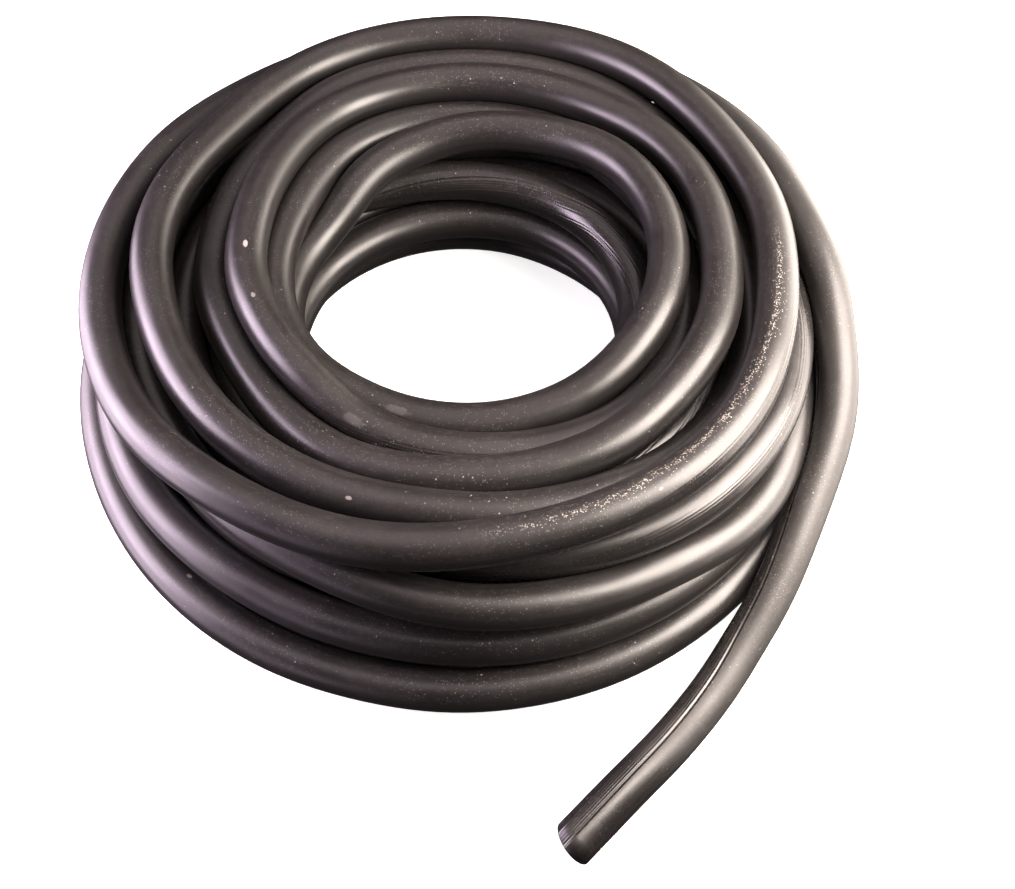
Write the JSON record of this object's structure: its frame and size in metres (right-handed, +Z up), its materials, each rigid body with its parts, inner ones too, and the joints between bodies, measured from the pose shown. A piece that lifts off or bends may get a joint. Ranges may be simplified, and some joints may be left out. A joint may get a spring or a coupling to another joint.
{
  "type": "soaker hose",
  "caption": "Black rubber soaker hose wound into a loose round coil, its plain cut outer end led off the side and along the floor.",
  "frame": {"origin": "on the floor, on the axis that the coil is wound about", "axes": "+Z up along the coil's axis; the outer end runs off towards -Y"},
  "size_m": [0.306, 0.3603, 0.0872],
  "materials": {
    "rubber": "satin extruded black rubber, finely ribbed, a little dusty"
  },
  "bodies": {
    "root": {"coil": "rubber", "tail": "rubber", "outer_end": "rubber", "inner_end": "rubber"}
  },
  "joints": []
}
